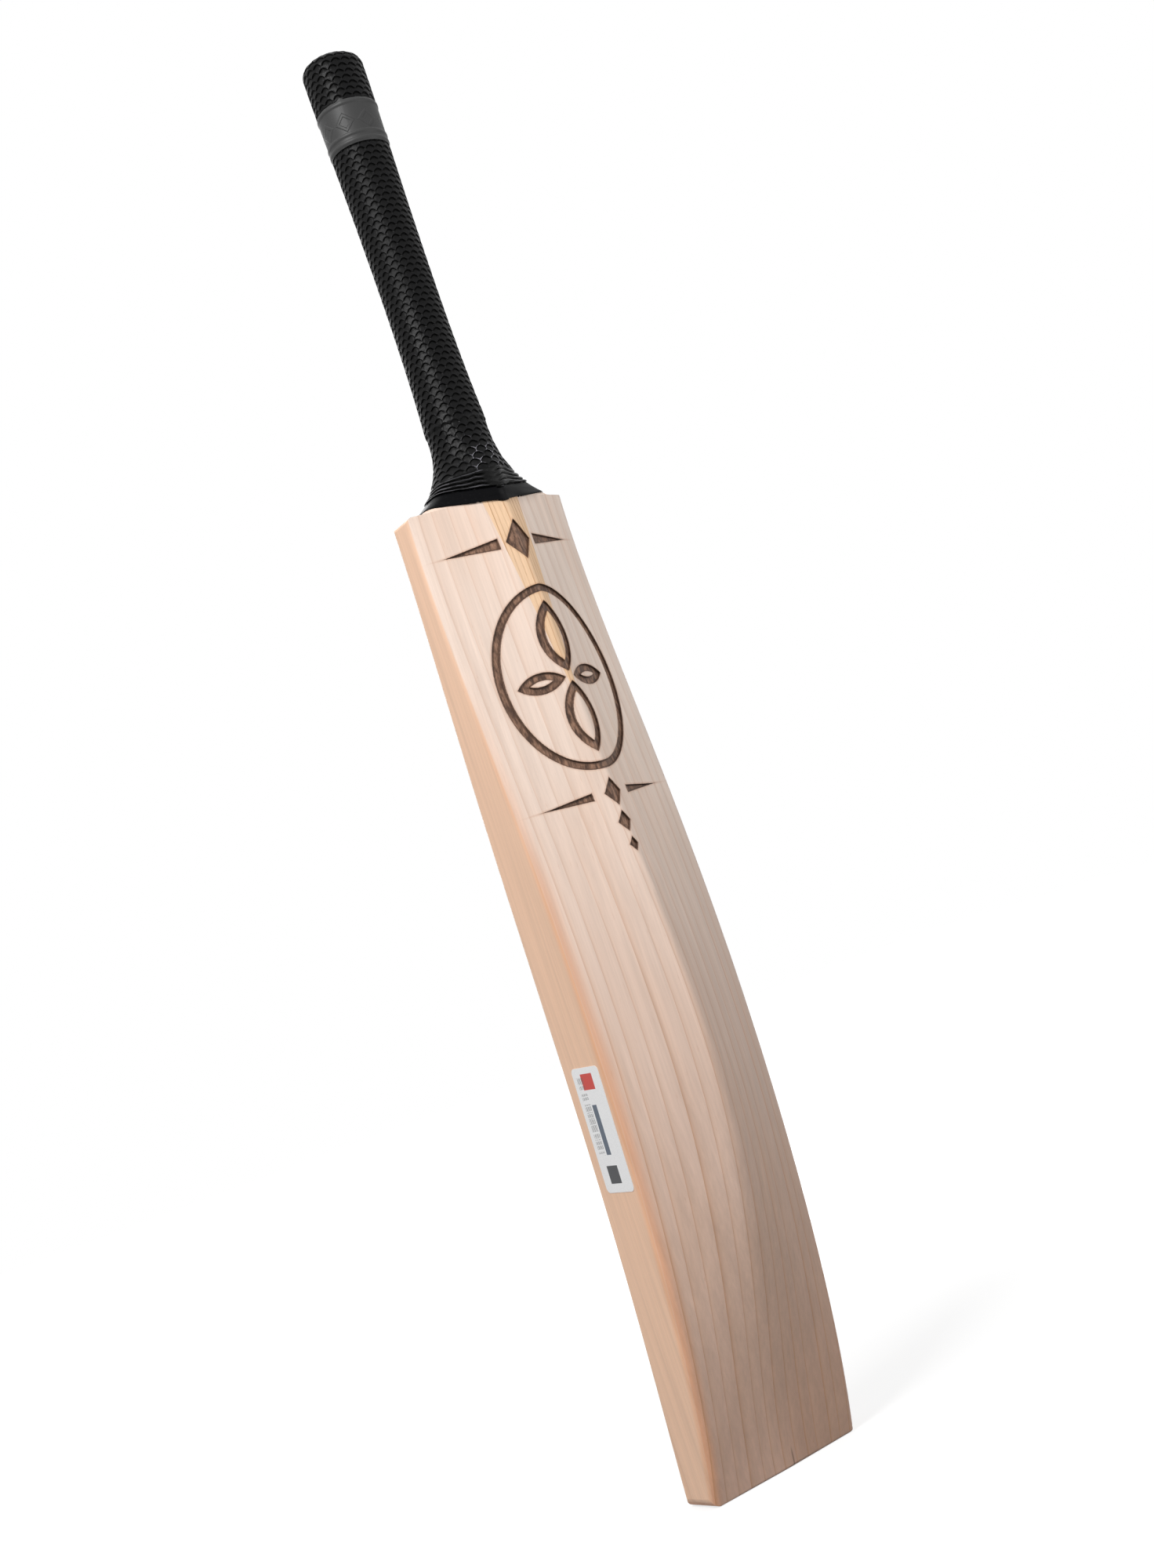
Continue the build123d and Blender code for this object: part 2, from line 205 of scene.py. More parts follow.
class BatFinishes(bpy.types.PropertyGroup):
    willow: colour("Willow", "Pale sapwood of the blade", "f1dbcc")
    # Painted shade: the far side's sapwood is painted cooler, as it lies in shade
    willow_painted_shade: colour("Willow, far side", "Cooler sapwood away from the marked edge", "eedccf")
    # The toe's colour is pinker wood, and darker as painted shade
    willow_toe_pink_and_shade: colour("Willow, toe", "Pinker sapwood towards the toe", "e4c0ac")
    # Painted shade: the far side of the toe is painted darker still
    toe_painted_shade: colour("Willow, far toe", "The same, away from the marked edge", "d0ab96")
    willow_deep: colour("Willow, deep", "Deeper streaks of the sapwood", "dcb79d")
    willow_line: colour("Growth line", "Fine lines between the year rings", "bd8052")
    heartwood: colour("Heartwood", "Peach wood along the marked edge", "f0c8ab")
    corner: colour("Corner", "Orange wood where heartwood and sapwood meet", "eba473")
    cane: colour("Cane", "Wood of the handle and its splice", "ecc59b")
    cane_line: colour("Cane vessels", "Fine dark lines in the cane", "ae7647")
    char: colour("Char", "Floor of the burnt engraving", "9e7962")
    # Also the colour of the toe's fleck and of the painted shade along the toe's lower edge
    char_edge_and_toe_shade: colour("Char edge", "Darker line along the engraving's walls", "462f22")
    rubber: colour("Rubber", "Black rubber of the grip", "0a0a0a")
    # Also painted as highlights on the grip's scales and on the hem's fold tops
    scuff_and_highlight: colour("Scuff", "Pale rubbed places on the rubber", "9a98a0")
    band: colour("Band", "Grey rubber of the band", "383838")
    tape: colour("Tape", "Glossy black tape", "060608")
    twine: colour("Twine", "Waxed twine under the grip", "e4ddcb")
    # Painted shade: the twine is painted darker between its turns
    twine_painted_shade: colour("Twine, shade", "The same, between its turns", "c6ba9c")
    spring: colour("Spring", "Brown rubber between the cane layers", "3a2b22")
    spring_dust: colour("Spring, dusty", "The same, where dust lies on it", "6e5a48")
    paper: colour("Paper", "Paper of the label", "f4f4f4")
    paper_shade: colour("Paper, shade", "Greyer flecks of the paper", "e9e9ea")
    ruling: colour("Ruling", "Ruled lines of the label", "4d4d50")


class BatStageSettings(bpy.types.PropertyGroup):
    key_power: FloatProperty(name="Key power", default=26.3, unit="POWER",
                             description="Power of the large soft lamp")
    back_power: FloatProperty(name="Back power", default=1.1, unit="POWER",
                              description="Power of the lamp close behind the handle")
    fill_power: FloatProperty(name="Fill power", default=10, unit="POWER",
                              description="Power of the lamp before the hitting face")
    sky: FloatProperty(name="Sky", default=0.36, min=0,
                       description="Strength of the white surroundings on the bat")
    lens: FloatProperty(name="Lens", default=44.016, unit="CAMERA",
                        description="Focal length of the camera")


# ---- node wiring

def reckoning(operation, turned=False):
    """Method that joins a signal and another value in a math node."""
    def method(self, other=0.0):
        return self.bench.math(operation, *((other, self) if turned else (self, other)))
    return method


class Signal:
    """Output of a node, which can be reckoned with like a number."""
    __add__ = __radd__ = reckoning("ADD")
    __mul__ = __rmul__ = reckoning("MULTIPLY")
    __sub__ = reckoning("SUBTRACT")
    __rsub__ = reckoning("SUBTRACT", turned=True)
    __truediv__ = reckoning("DIVIDE")
    __pow__ = reckoning("POWER")
    __abs__ = reckoning("ABSOLUTE")
    at_least = reckoning("MAXIMUM")
    at_most = reckoning("MINIMUM")
    is_below = reckoning("LESS_THAN")
    fraction = reckoning("FRACT")
    zigzag = reckoning("PINGPONG")
    root = reckoning("SQRT")
    sine = reckoning("SINE")

    def __init__(self, bench, socket):
        self.bench = bench
        self.socket = socket

    def span(self, low, high, out_low=0.0, out_high=1.0, kind="SMOOTHSTEP"):
        """Smooth step from out_low to out_high as this signal goes from low to high."""
        return self.bench.signal(
            "ShaderNodeMapRange", {0: self, 1: low, 2: high, 3: out_low, 4: out_high},
            interpolation_type=kind, clamp=True)


class Bench:
    """Adds and joins the nodes of one material, world or node group."""

    def __init__(self, owner, tree):
        self.owner = owner
        self.tree = tree

    def feed(self, socket, value):
        if isinstance(value, Signal):
            self.tree.links.new(value.socket, socket)
        elif socket.type == "RGBA" and len(value) == 3:
            socket.default_value = (*value, 1)
        else:
            socket.default_value = value

    def add(self, kind, inputs=None, **settings):
        node = self.tree.nodes.new(kind)
        for name, value in settings.items():
            setattr(node, name, value)
        for key, value in (inputs or {}).items():
            self.feed(node.inputs[key], value)
        return node

    def signal(self, kind, inputs=None, output=0, **settings):
        """One output of a new node."""
        return Signal(self, self.add(kind, inputs, **settings).outputs[output])

    def signals(self, kind, inputs=None, **settings):
        """All outputs of a new node, by name."""
        node = self.add(kind, inputs, **settings)
        return {socket.name: Signal(self, socket) for socket in node.outputs}

    def math(self, operation, first, second=0.0):
        return self.signal("ShaderNodeMath", {0: first, 1: second}, operation=operation)

    def blend(self, share, first, second, mode="MIX"):
        return self.signal("ShaderNodeMix", {0: share, 6: first, 7: second}, output=2,
                           data_type="RGBA", blend_type=mode)

    def cover(self, base, *layers):
        """Base colour under layers, each a share and the colour it lays on."""
        for share, shade in layers:
            base = self.blend(share, base, shade)
        return base

    def place(self):
        """Object coordinates, in metres."""
        return self.signal("ShaderNodeTexCoord", output="Object")

    def parts(self, vector):
        return self.signals("ShaderNodeSeparateXYZ", {0: vector}).values()

    def vector(self, x, y, z):
        return self.signal("ShaderNodeCombineXYZ", {0: x, 1: y, 2: z})

    def moved(self, vector, **mapping):
        return self.signal("ShaderNodeMapping", {"Vector": vector, **mapping})

    def plain_noise(self, vector, scale, detail=2.0, roughness=0.5):
        return self.signal("ShaderNodeTexNoise", {"Vector": vector, "Scale": scale,
                                                  "Detail": detail, "Roughness": roughness})

    def noise(self, vector, stretch, detail=2.0, roughness=0.5):
        """Noise with stretch waves per metre along each axis."""
        return self.plain_noise(self.moved(vector, Scale=stretch), 1.0, detail, roughness)

    def attribute(self, name):
        return self.signal("ShaderNodeAttribute", output="Fac", attribute_name=name)

    def bump(self, height, relief, strength):
        return self.signal("ShaderNodeBump", {"Height": height, "Distance": relief,
                                              "Strength": strength})

    def group(self, tree, **inputs):
        return self.signals("ShaderNodeGroup", spaced(inputs), node_tree=tree)


def spaced(values):
    """Keyword values under the names of their sockets."""
    return {name.replace("_", " "): value for name, value in values.items()}


def new_group(name, **inputs):
    """Bench of a new node group with float inputs, and the signals of those inputs."""
    tree = bpy.data.node_groups.new(name, "ShaderNodeTree")
    for title, default in spaced(inputs).items():
        socket = tree.interface.new_socket(title, in_out="INPUT", socket_type="NodeSocketFloat")
        socket.default_value = default
    bench = Bench(tree, tree)
    return bench, bench.signals("NodeGroupInput")


def close_group(bench, **outputs):
    """Gives a node group its float outputs, and returns it."""
    outputs = spaced(outputs)
    for title in outputs:
        bench.tree.interface.new_socket(title, in_out="OUTPUT", socket_type="NodeSocketFloat")
    bench.add("NodeGroupOutput", outputs)
    return bench.tree


def empty_bench(owner):
    """Bench on the node tree of a material or world, cleared."""
    owner.use_nodes = True
    owner.node_tree.nodes.clear()
    return Bench(owner, owner.node_tree)


def new_material(name):
    return empty_bench(bpy.data.materials.new(name))


def close_material(bench, level, shade, roughness, height, relief, strength=1.0):
    """Ends a material with its shader, whose bump is so many metres deep, and returns it."""
    shader = bench.signal("ShaderNodeBsdfPrincipled",
                          {"Base Color": shade, "Roughness": roughness,
                           "Specular IOR Level": level,
                           "Normal": bench.bump(height, relief, strength)})
    bench.add("ShaderNodeOutputMaterial", {"Surface": shader})
    return bench.owner


# ---- shared effects

def wood_grain_group():
    """Year rings as planes across X, silky fibres along Z, and short pores."""
    bench, entry = new_group("wood_grain", Ring_Width=8.5 * MM, Ring_Sway=6 * MM,
                             Fibre_Count=700.0, Ring_Sharpness=16.0)
    place = bench.place()
    x, y, z = bench.parts(place)
    broad = bench.noise(place, (5, 9, 1.6), 1) - 0.5
    close = bench.noise(place, (40, 40, 5), 2) - 0.5
    swayed = x + y * 0.12 + broad * entry["Ring Sway"] + close * 0.0009
    count = swayed / entry["Ring Width"]
    uneven = bench.noise(bench.vector(count, 0.0, 0.0), (0.6, 1, 1), 1)
    phase = (count + uneven * 1.3 + 40.0).fraction()
    drawn = bench.signal("ShaderNodeVectorMath", {0: place, 1: (1, 1, 0.014)},
                         operation="MULTIPLY")
    return close_group(
        bench,
        Ring_Line=phase ** entry["Ring Sharpness"],
        Ring_Shade=phase ** 2.5,
        Fibre=bench.plain_noise(drawn, entry["Fibre Count"], 3.0, 0.6),
        Silk=bench.noise(place, (170, 170, 5), 3, 0.55),
        Pores=bench.noise(place, (1500, 1500, 90), 2).span(0.66, 0.8),
        Blotch=bench.noise(place, (22, 30, 7), 2))


def slant(first, second):
    """Root of the sum of two signals' squares."""
    return (first * first + second * second).root()


def engraving_group(sizes):
    """Distance to the engraved ornament on the back, in metres, negative inside it."""
    bench, _ = new_group("engraving")
    x, y, z = bench.parts(bench.place())
    side = abs(x)

    def ellipse(along, half_width, half_height):
        near = slant(side / half_width, along / half_height)
        steep = slant(side / half_width**2, along / half_height**2)
        return near * (near - 1.0) / steep.at_least(0.001)

    def leaf(across, along, size):
        half = size * sizes.leaf_fullness / 2
        radius = (size**2 / 4 + half**2) / (2 * half)
        outer = slant(across + (radius - half), along - (sizes.leaf_gap + size / 2)) - radius
        return outer.at_least(-sizes.stroke - outer)

    def lozenge(along, width, tall):
        edge = side * (tall / 2) + abs(along) * (width / 2) - width * tall / 4
        return edge / (math.hypot(width, tall) / 2)

    def bar(along, start, end, thick):
        upper = abs(along) - (end - side) * (thick / 2 / (end - start))
        return upper.at_least(start - side)

    up = z - (SHOULDER - sizes.medallion_drop)
    rise = abs(up)
    divider = z - (SHOULDER - sizes.divider_drop)
    rule = SHOULDER - sizes.rule_drop
    ring_inner = ellipse(up, sizes.medallion_half_width - sizes.stroke,
                         sizes.medallion_half_height - sizes.stroke)
    ring = ellipse(up, sizes.medallion_half_width, sizes.medallion_half_height)
    shapes = [
        leaf(side, rise, sizes.long_leaf),
        leaf(rise, side, sizes.short_leaf),
        lozenge(divider, sizes.lozenge_width, sizes.lozenge_height),
        bar(divider, sizes.divider_start, sizes.divider_reach, sizes.stroke * 1.5),
        bar(z - rule, sizes.rule_start, sizes.rule_reach, sizes.stroke),
    ]
    shape_ratio = sizes.lozenge_width / sizes.lozenge_height
    top = rule + sizes.bead_height / 2
    for place in range(sizes.beads):
        tall = sizes.bead_height - place * sizes.bead_step
        shapes.append(lozenge(z - (top - tall / 2), tall * shape_ratio, tall))
        top -= tall + sizes.bead_gap
    nearest = ring.at_least(ring_inner * -1.0)
    for shape in shapes:
        nearest = nearest.at_most(shape)
    # The face's half of the blade counts as a metre away
    return close_group(bench, Distance=nearest + y.is_below(AXIS_Y))


def char_group(engraving):
    """Masks of the burnt engraving: its floor, its dark walls and the faint scorch round it."""
    bench, entry = new_group("char", Ragged=0.4 * MM)
    place = bench.place()
    ragged = bench.noise(place, (900, 900, 700), 2) - 0.5
    distance = bench.group(engraving)["Distance"] + ragged * entry["Ragged"]
    return close_group(
        bench,
        Inside=distance.span(0.00025, -0.00015),
        Wall=distance.span(-0.0013, -0.0001) * distance.span(0.0005, 0.0),
        Scorch=distance.span(0.0016, 0.0),
        Ash=bench.noise(place, (420, 420, 130), 4, 0.65))


def rubber_skin_group():
    """Fine moulded grain and dust of black rubber, as a height and two masks."""
    bench, entry = new_group("rubber_skin", Grain_Count=2600.0)
    place = bench.place()
    specks = bench.noise(place, (700, 700, 700), 4, 0.7)
    patches = bench.noise(place, (35, 35, 20), 2)
    return close_group(
        bench,
        Height=bench.plain_noise(place, entry["Grain Count"]),
        Dust=specks.span(0.55, 0.8) * patches.span(0.4, 0.7),
        Sheen=patches)


# ---- materials

def tone_down(bench, wood, tone):
    """Wood multiplied by a grey tone."""
    return bench.blend(1.0, wood, bench.vector(tone, tone, tone), "MULTIPLY")


def close_wood(bench, char, wood, roughness, fibre, relief, finishes):
    """Burns the engraving into the wood and ends the material."""
    floor = bench.blend(char["Ash"].span(0.35, 0.7), finishes.char_edge_and_toe_shade, finishes.char)
    burnt = bench.cover(wood, (char["Scorch"] * 0.35, finishes.willow_line),
                        (char["Inside"], floor), (char["Wall"] * 0.75, finishes.char_edge_and_toe_shade))
    height = fibre + char["Ash"] * char["Inside"] * 6.0
    return close_material(bench, 0.35, burnt, roughness, height, relief)


def back_corner(bench, z):
    """How far behind its origin the blade's back corner lies, in metres, at a height."""
    curve = bench.add("ShaderNodeFloatCurve", {"Value": z / SHOULDER})
    points = curve.mapping.curves[0].points
    steps = len(BACK_CORNER) - 1
    points[0].location = (0, BACK_CORNER[0] / CORNER_SCALE)
    points[1].location = (1, BACK_CORNER[steps] / CORNER_SCALE)
    for step in range(1, steps):
        points.new(step / steps, BACK_CORNER[step] / CORNER_SCALE)
    curve.mapping.update()
    return Signal(bench, curve.outputs[0]) * (CORNER_SCALE * MM)


def corner_tint(bench, x, y, z, edge, sway):
    """Share of orange wood along the marked back corner, low on the blade."""
    on_edge = edge * (y - back_corner(bench, z) + sway).span(*TINT_ON_EDGE)
    on_back = (1.0 - edge) * (x + sway).span(*TINT_ON_BACK_X)
    return on_edge.at_least(on_back) * z.span(*TINT_Z, 0.0, 0.65)


def toe_fleck_and_painted_shade(x, y, z):
    """Share of the dark fleck on the back near the toe, and of the painted shade along the toe's
    lower edge.
    """
    fleck = abs(x - FLECK_X).span(*FLECK_HALF_WIDTH) * z.span(*FLECK_Z) * y.span(*FLECK_Y)
    return fleck.at_least(z.span(*TOE_PAINTED_SHADE_Z) * x.span(*TOE_PAINTED_SHADE_X)) * 0.55


def willow_material(finishes, grain_tree, char_tree):
    """Pale willow, peach on the marked edge and pinker towards the toe, with painted shade: darker
    towards the toe and cooler on the far side.
    """
    bench = new_material("willow")
    grain = bench.group(grain_tree, Ring_Width=8.5 * MM, Ring_Sway=3.5 * MM, Fibre_Count=700.0,
                        Ring_Sharpness=18.0)
    x, y, z = bench.parts(bench.place())
    # From the far side, painted cooler and darker as shade, to the lit marked side
    side = x.span(*PAINTED_SHADE_TO_LIT_X)
    toe = bench.blend(side, finishes.toe_painted_shade, finishes.willow_toe_pink_and_shade)
    edge = x.span(*MARKED_EDGE_X)
    sway = (grain["Blotch"] - 0.5) * (6 * MM)
    line_strength = z.span(*LOWER_LINE_Z, 0.22, 0.6) * (1.0 - edge * 0.75)
    wood = bench.cover(
        bench.blend(side, finishes.willow_painted_shade, finishes.willow),
        # Painted shade: darker, and pinker, towards the toe
        (z.span(*TOE_PINK_AND_SHADE_Z, kind="LINEAR"), toe),
        (grain["Blotch"].span(0.4, 0.8, 0.0, 0.3), finishes.willow_deep),
        (grain["Ring Shade"] * z.span(*LOWER_SHADE_Z, 0.2, 0.5), finishes.willow_deep),
        (edge, finishes.heartwood),
        (corner_tint(bench, x, y, z, edge, sway), finishes.corner),
        (grain["Ring Line"] * line_strength, finishes.willow_line),
        # The fleck, and painted shade along the toe's lower edge
        (toe_fleck_and_painted_shade(x, y, z), finishes.char_edge_and_toe_shade))
    tone = (grain["Silk"].span(0.25, 0.75, 0.90, 1.06, "LINEAR")
            * grain["Fibre"].span(0.25, 0.75, 0.93, 1.05, "LINEAR"))
    wood = bench.cover(tone_down(bench, wood, tone),
                       (grain["Pores"] * 0.25, finishes.willow_line))
    roughness = grain["Silk"].span(0.2, 0.8, 0.42, 0.58, "LINEAR")
    return close_wood(bench, bench.group(char_tree), wood, roughness, grain["Fibre"],
                      0.06 * MM, finishes)


def cane_material(finishes, grain_tree, char_tree):
    """Yellower cane with dark vessels."""
    bench = new_material("cane")
    grain = bench.group(grain_tree, Ring_Width=2.6 * MM, Ring_Sway=2 * MM, Fibre_Count=1100.0,
                        Ring_Sharpness=9.0)
    wood = bench.cover(
        finishes.cane,
        (grain["Blotch"].span(0.3, 0.8, 0.0, 0.35), finishes.willow),
        (grain["Ring Line"] * grain["Silk"].span(0.35, 0.6, 0.4, 1.0), finishes.cane_line),
        (grain["Pores"] * 0.6, finishes.cane_line))
    tone = grain["Fibre"].span(0.25, 0.75, 0.86, 1.06, "LINEAR")
    roughness = grain["Fibre"].span(0.2, 0.8, 0.45, 0.6, "LINEAR")
    return close_wood(bench, bench.group(char_tree), tone_down(bench, wood, tone), roughness,
                      grain["Fibre"], 0.08 * MM, finishes)


def rubber_material(name, grain_count=2600.0):
    """Bench of a new material, and the rubber skin on it with so fine a grain."""
    bench = new_material(name)
    return bench, bench.group(bpy.data.node_groups["rubber_skin"], Grain_Count=grain_count)


def sheen(skin, low, high):
    """Roughness that drifts between two values over the rubber."""
    return skin["Sheen"].span(0.3, 0.7, low, high)


def grip_material(finishes):
    """Black rubber whose arcs are rubbed pale in a patch near the foot of the grip, with a faint
    painted highlight on the raised parts of every scale.
    """
    bench, skin = rubber_material("grip_rubber")
    place = bench.place()
    x, y, z = bench.parts(place)
    crest = bench.attribute("crest")
    right, left = RUBBED_X
    patch = x.span(*right) * x.span(*left) * y.span(*RUBBED_Y) * z.span(*RUBBED_Z)
    worn = bench.noise(place, (170, 170, 170), 3).span(0.45, 0.6)
    shade = bench.cover(finishes.rubber, (skin["Dust"] * 0.02, finishes.scuff_and_highlight),
                        # Painted highlight: the raised parts of every scale are painted a little
                        # paler
                        (crest.span(0.5, 0.9) * 0.008, finishes.scuff_and_highlight),
                        (crest.span(0.9, 1.0) * patch * worn, finishes.scuff_and_highlight))
    return close_material(bench, 0.085, shade, sheen(skin, 0.35, 0.45), skin["Height"],
                          0.05 * MM)


def hem_material(finishes):
    """Glossier rubber of the bunched hem, with painted highlights along its fold tops and rubbed
    pale along its lower rim.
    """
    bench, skin = rubber_material("hem_rubber", 1800.0)
    mark = bench.attribute("crest")
    patchiness = bench.noise(bench.place(), (300, 300, 900), 3, 0.6)
    shade = bench.cover(
        finishes.rubber, (skin["Dust"] * 0.05, finishes.scuff_and_highlight),
        # Painted highlight along the fold tops
        (mark.span(0.25, 0.6) * patchiness.span(0.3, 0.55) * 0.3, finishes.scuff_and_highlight),
        # Pale rubbing along the lower rim
        (mark.span(0.75, 1.0) * patchiness.span(0.42, 0.6) * 0.6, finishes.scuff_and_highlight))
    return close_material(bench, 0.11, shade, sheen(skin, 0.22, 0.32), skin["Height"],
                          0.04 * MM)


def band_material(finishes):
    """Satin grey rubber with a ring of raised lozenges at its middle."""
    bench, skin = rubber_material("band_rubber", 3200.0)
    x, y, z = bench.parts(bench.place())
    turn = bench.math("ARCTAN2", y - AXIS_Y, x)
    cell = (turn * (LOZENGES / (2 * math.pi))).zigzag(0.5)
    off_middle = cell * 2.2 + abs(z - BAND_MIDDLE) / LOZENGE_RISE
    raised = off_middle.span(1.0, 0.86) * off_middle.span(0.5, 0.64)
    shade = bench.blend(skin["Dust"] * 0.12, finishes.band, finishes.scuff_and_highlight)
    return close_material(bench, 0.24, shade, sheen(skin, 0.44, 0.52),
                          skin["Height"] * 0.05 + raised, 0.3 * MM)


def tape_material(finishes):
    """Smooth stretched tape with faint creases that run round the neck."""
    bench, skin = rubber_material("tape", 900.0)
    crease = bench.noise(bench.place(), (40, 40, 420), 3, 0.6)
    shade = bench.blend(skin["Dust"] * 0.04, finishes.tape, finishes.scuff_and_highlight)
    return close_material(bench, 0.06, shade, crease.span(0.3, 0.7, 0.26, 0.38), crease,
                          0.3 * MM, 0.6)


def twine_material(finishes):
    """Waxed twine, wound close round the handle, with painted shade between its turns."""
    bench, skin = rubber_material("twine")
    _, _, z = bench.parts(bench.place())
    strands = (z * (2 * math.pi / TWINE_PITCH)).sine() + skin["Height"] * 0.6
    # Painted shade: darker between the turns
    shade = bench.blend(strands.span(-0.6, 1.0), finishes.twine_painted_shade, finishes.twine)
    return close_material(bench, 0.4, shade, sheen(skin, 0.45, 0.6), strands, 0.2 * MM)


def spring_material(finishes):
    """Brown rubber of the springs between the cane layers."""
    bench, skin = rubber_material("spring_rubber", 1500.0)
    shade = bench.blend(skin["Dust"].span(0.0, 0.8), finishes.spring, finishes.spring_dust)
    return close_material(bench, 0.4, shade, sheen(skin, 0.6, 0.75), skin["Height"], 0.1 * MM)


def label_material(finishes):
    """Paper label with three plain blocks and ruled lines, without any lettering."""
    bench = new_material("label")
    place = bench.place()
    centred = bench.moved(place, Location=-(label_low + label_high) / 2)
    _, across, along = bench.parts(
        bench.moved(centred, Rotation=(math.radians(LABEL_TILT), 0, 0)))

    def block(low_across, high_across, low_along, high_along):
        mask = 1.0
        for value, low, high in ((across, low_across, high_across),
                                 (along, low_along, high_along)):
            for side, soft in ((low * MM, PRINT_SOFTNESS), (high * MM, -PRINT_SOFTNESS)):
                mask = value.span(side - soft, side + soft) * mask
        return mask

    fleck = bench.noise(place, (3000, 3000, 3000), 2)
    ruled = (across * (1 / RULE_PITCH)).fraction()
    broken = bench.noise(place, (10, 10, 900), 2)
    lines = block(*RULED_BLOCK) * ruled.span(0.45, 0.55) * broken.span(0.44, 0.5) * 0.75
    shade = bench.cover(
        bench.blend(fleck.span(0.3, 0.7), finishes.paper_shade, finishes.paper),
        *((block(*sides), linear(code)) for *sides, code in LABEL_BLOCKS),
        (lines, finishes.ruling))
    return close_material(bench, 0.5, shade, fleck.span(0.3, 0.7, 0.32, 0.4), fleck,
                          0.02 * MM)


# ---- modelling helpers

def start_piece(name):
    """Names the object that an operator just added."""
    piece = bpy.context.object
    piece.name = name
    piece.data.name = name
    return piece


def clear_selection():
    """Leaves edit mode and selects nothing."""
    if bpy.context.object and bpy.context.object.mode == "EDIT":
        bpy.ops.object.mode_set(mode="OBJECT")
    bpy.ops.object.select_all(action="DESELECT")


def edit_all(operation, **options):
    """Runs a mesh operator on the whole of the active object."""
    bpy.ops.object.mode_set(mode="EDIT")
    bpy.ops.mesh.select_all(action="SELECT")
    operation(**options)
    bpy.ops.object.mode_set(mode="OBJECT")


def give_finish(item, material):
    """Makes a material the only one of an object."""
    item.data.materials.clear()
    item.data.materials.append(material)


def finish_piece(piece, node, material, smooth_angle=40):
    """Settles a piece at the origin, makes its material and puts it on the frame."""
    clear_selection()
    piece.select_set(True)
    bpy.context.view_layer.objects.active = piece
    bpy.ops.object.transform_apply(location=True, rotation=True, scale=True)
    bpy.ops.object.shade_smooth_by_angle(angle=math.radians(smooth_angle))
    give_finish(piece, material(bpy.context.scene.bat_finishes))
    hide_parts(node)
    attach(piece, "root")


def search_trees(*names):
    """Search trees of frame nodes, for casting rays at them."""
    depsgraph = bpy.context.evaluated_depsgraph_get()
    return [BVHTree.FromObject(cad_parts[name], depsgraph) for name in names]


def around(angle):
    """Level direction from the handle's axis."""
    return Vector((math.cos(angle), math.sin(angle), 0))


def angle_of(vertex):
    """Angle of a vertex round the handle's axis."""
    return math.atan2(vertex.co.y - AXIS_Y, vertex.co.x)


def reach_of(trees, angle, height):
    """Distance from the handle's axis to the outside of the nodes, at an angle and a height.

    A slanting rim may end a little short, so a ray that misses is tried again above and below.
    """
    outward = around(angle)
    for lift in RIM_LIFTS:
        start = Vector((0, AXIS_Y, height + lift)) + outward * FACING_REACH
        hits = [tree.ray_cast(start, -outward)[3] for tree in trees]
        ways = [way for way in hits if way is not None]
        if ways:
            return FACING_REACH - min(ways)
    raise RuntimeError(f"nothing of the frame lies at {angle:.3f} rad, {height:.4f} m")


def on_axis(angle, radius, height):
    return Vector((radius * math.cos(angle), AXIS_Y + radius * math.sin(angle), height))


def select_where(piece, kind, test):
    """Selects the vertices, edges or faces of a piece that pass a test; piece in object mode."""
    kinds = ("vertices", "edges", "polygons")
    bpy.context.tool_settings.mesh_select_mode = [kind == each for each in kinds]
    for each in kinds:
        group = getattr(piece.data, each)
        group.foreach_set("select", [False] * len(group))
    for item in getattr(piece.data, kind):
        item.select = test(item)


def open_edges(piece):
    """Edges that belong to one face only."""
    uses = {}
    for face in piece.data.polygons:
        for key in face.edge_keys:
            uses[key] = uses.get(key, 0) + 1
    return {key for key, count in uses.items() if count == 1}


def close_sleeve(piece, wall, lip_height=1.0, cuts=0):
    """Gives an open sleeve round the handle an inner wall, joined at both rims.

    Above lip_height the rim goes down instead of inwards, as the hole in the grip's end does.
    Returns the vertices of the loops that cut the inner wall.
    """
    rim = open_edges(piece)
    select_where(piece, "edges", lambda edge: edge.key in rim)
    bpy.ops.object.mode_set(mode="EDIT")
    bpy.ops.mesh.extrude_region()
    bpy.ops.object.mode_set(mode="OBJECT")
    for vertex in piece.data.vertices:
        if vertex.select:
            on_lip = vertex.co.z > lip_height
            outward = Vector((0, 0, 1)) if on_lip else around(angle_of(vertex))
            vertex.co -= outward * wall
    count = len(piece.data.vertices)
    bpy.ops.object.mode_set(mode="EDIT")
    bpy.ops.mesh.bridge_edge_loops(number_cuts=cuts)
    bpy.ops.object.mode_set(mode="OBJECT")
    edit_all(bpy.ops.mesh.normals_make_consistent, inside=False)
    return piece.data.vertices[count:]


